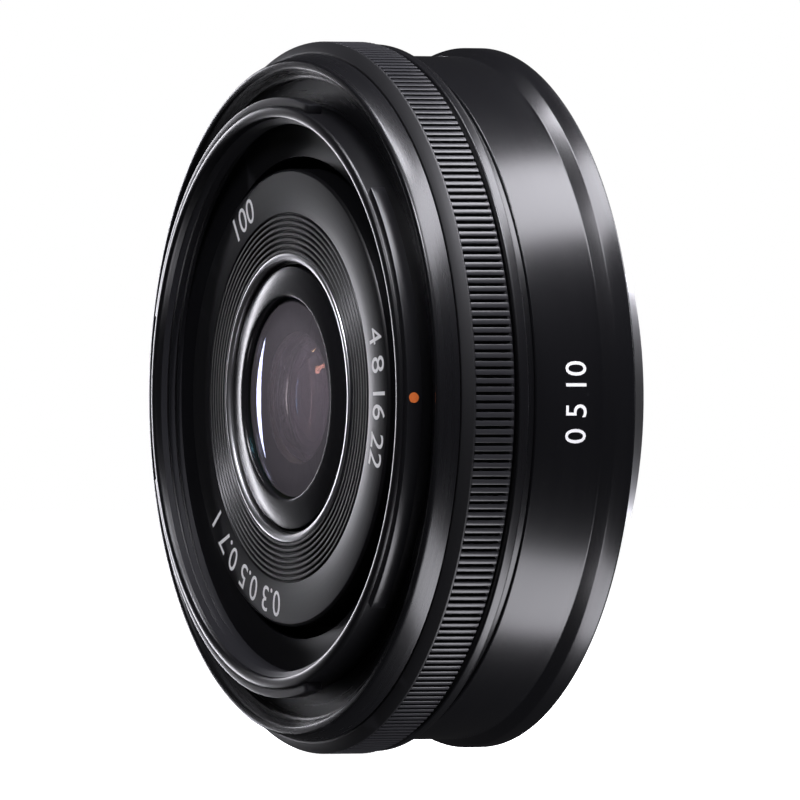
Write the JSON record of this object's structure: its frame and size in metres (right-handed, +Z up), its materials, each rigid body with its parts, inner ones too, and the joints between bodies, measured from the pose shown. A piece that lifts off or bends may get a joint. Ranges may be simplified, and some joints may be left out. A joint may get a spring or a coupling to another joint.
{
  "type": "prime camera lens",
  "caption": "Thin fixed-focal-length camera lens with a knurled focus ring, a front filter thread and a metal bayonet at the back.",
  "frame": {"origin": "centre of the rear flange face, on the optical axis", "axes": "+Y along the optical axis towards the camera, so the front of the lens faces -Y; +Z up"},
  "size_m": [0.0626, 0.0251, 0.0626],
  "materials": {
    "black_anodised": "satin black anodised",
    "front_plate_black": "semi-matte black anodised, fine turned",
    "moulded_black": "matte black moulded",
    "bright_ring": "turned bright",
    "optical_glass": "coated optical glass",
    "bayonet_metal": "satin plated",
    "steel": "plain",
    "motor_can": "drawn",
    "gilt": "gilded",
    "brass": "turned",
    "blade_black": "thin blackened",
    "board_green": "solder mask",
    "chip_black": "moulded",
    "flex_amber": "flexible film",
    "index_orange": "painted insert",
    "mark_white": "painted insert"
  },
  "bodies": {
    "lens_body": {"main_frame": "moulded_black", "filter_ring": "black_anodised", "front_bezel": "black_anodised", "index_mark": "index_orange", "step_ring": "black_anodised", "rear_barrel": "black_anodised", "mount_mark": "mark_white", "name_ring": "front_plate_black", "trim_ring": "bright_ring", "front_retainer": "front_plate_black", "front_cell": "moulded_black", "second_retainer": "moulded_black", "focus_ring_sensors": "chip_black", "lens_1": "optical_glass", "lens_2": "optical_glass", "lens_5": "optical_glass", "lens_6": "optical_glass", "iris_base": "moulded_black", "iris_cover": "moulded_black", "iris_motor": "motor_can", "focus_motor": "motor_can", "motor_bracket": "steel", "main_guide_rod": "steel", "second_guide_rod": "steel", "rear_cell": "moulded_black", "rear_spacer": "moulded_black", "rear_retainer": "moulded_black", "rear_baffle": "moulded_black", "circuit_board": "board_green", "board_chips": "chip_black", "iris_flex": "flex_amber", "focus_flex": "flex_amber", "mount_plate": "bayonet_metal", "mount_screws": "steel", "contact_block": "moulded_black", "contact_pins": "gilt", "contact_flex": "flex_amber", "rear_cover": "moulded_black", "front_screws": "steel", "cell_screws": "steel", "iris_screws": "steel", "board_screws": "steel"},
    "focus_ring_body": {"focus_ring": "black_anodised", "encoder_comb": "moulded_black"},
    "focus_group": {"focus_cell": "moulded_black", "focus_spacer": "moulded_black", "focus_retainer": "moulded_black", "focus_nut": "brass", "lens_3": "optical_glass", "lens_4": "optical_glass"},
    "lead_screw_body": {"lead_screw": "steel"},
    "iris_ring_body": {"iris_drive_ring": "moulded_black"},
    "iris_pinion_body": {"iris_pinion": "brass"},
    "iris_blade_1_body": {"iris_blade_1": "blade_black"},
    "iris_blade_2_body": {"iris_blade_2": "blade_black"},
    "iris_blade_3_body": {"iris_blade_3": "blade_black"},
    "iris_blade_4_body": {"iris_blade_4": "blade_black"},
    "iris_blade_5_body": {"iris_blade_5": "blade_black"},
    "iris_blade_6_body": {"iris_blade_6": "blade_black"},
    "iris_blade_7_body": {"iris_blade_7": "blade_black"}
  },
  "joints": [
    {"name": "focus_ring_turn", "type": "hinge", "parent": "lens_body", "child": "focus_ring_body", "pos_m": [0, 0, 0], "axis": [0, -1, 0], "continuous": true},
    {"name": "focus_group_slide", "type": "slide", "parent": "lens_body", "child": "focus_group", "axis": [0, -1, 0], "range_m": [0, 0.0016]},
    {"name": "lead_screw_turn", "type": "hinge", "parent": "lens_body", "child": "lead_screw_body", "pos_m": [-0.01077, 0, 0.01379], "axis": [0, -1, 0], "range_deg": [0, 1919.9]},
    {"name": "iris_ring_turn", "type": "hinge", "parent": "lens_body", "child": "iris_ring_body", "pos_m": [0, 0, 0], "axis": [0, -1, 0], "range_deg": [0, 12]},
    {"name": "iris_pinion_turn", "type": "hinge", "parent": "lens_body", "child": "iris_pinion_body", "pos_m": [0, 0, -0.01325], "axis": [0, -1, 0], "range_deg": [-115.3, 0]},
    {"name": "iris_blade_1_turn", "type": "hinge", "parent": "lens_body", "child": "iris_blade_1_body", "pos_m": [0.0086, 0, 0], "axis": [0, -1, 0], "range_deg": [0, 23.51]},
    {"name": "iris_blade_2_turn", "type": "hinge", "parent": "lens_body", "child": "iris_blade_2_body", "pos_m": [0.00536, 0, 0.00672], "axis": [0, -1, 0], "range_deg": [0, 23.51]},
    {"name": "iris_blade_3_turn", "type": "hinge", "parent": "lens_body", "child": "iris_blade_3_body", "pos_m": [-0.00191, 0, 0.00838], "axis": [0, -1, 0], "range_deg": [0, 23.51]},
    {"name": "iris_blade_4_turn", "type": "hinge", "parent": "lens_body", "child": "iris_blade_4_body", "pos_m": [-0.00775, 0, 0.00373], "axis": [0, -1, 0], "range_deg": [0, 23.51]},
    {"name": "iris_blade_5_turn", "type": "hinge", "parent": "lens_body", "child": "iris_blade_5_body", "pos_m": [-0.00775, 0, -0.00373], "axis": [0, -1, 0], "range_deg": [0, 23.51]},
    {"name": "iris_blade_6_turn", "type": "hinge", "parent": "lens_body", "child": "iris_blade_6_body", "pos_m": [-0.00191, 0, -0.00838], "axis": [0, -1, 0], "range_deg": [0, 23.51]},
    {"name": "iris_blade_7_turn", "type": "hinge", "parent": "lens_body", "child": "iris_blade_7_body", "pos_m": [0.00536, 0, -0.00672], "axis": [0, -1, 0], "range_deg": [0, 23.51]}
  ],
  "couplings": [
    {"joint": "lead_screw_turn", "follows": "focus_group_slide", "rad_per_m": 20944},
    {"joint": "iris_pinion_turn", "follows": "iris_ring_turn", "ratio": -9.6},
    {"joint": "iris_blade_1_turn", "follows": "iris_ring_turn", "ratio": 1.9583},
    {"joint": "iris_blade_2_turn", "follows": "iris_ring_turn", "ratio": 1.9583},
    {"joint": "iris_blade_3_turn", "follows": "iris_ring_turn", "ratio": 1.9583},
    {"joint": "iris_blade_4_turn", "follows": "iris_ring_turn", "ratio": 1.9583},
    {"joint": "iris_blade_5_turn", "follows": "iris_ring_turn", "ratio": 1.9583},
    {"joint": "iris_blade_6_turn", "follows": "iris_ring_turn", "ratio": 1.9583},
    {"joint": "iris_blade_7_turn", "follows": "iris_ring_turn", "ratio": 1.9583}
  ]
}
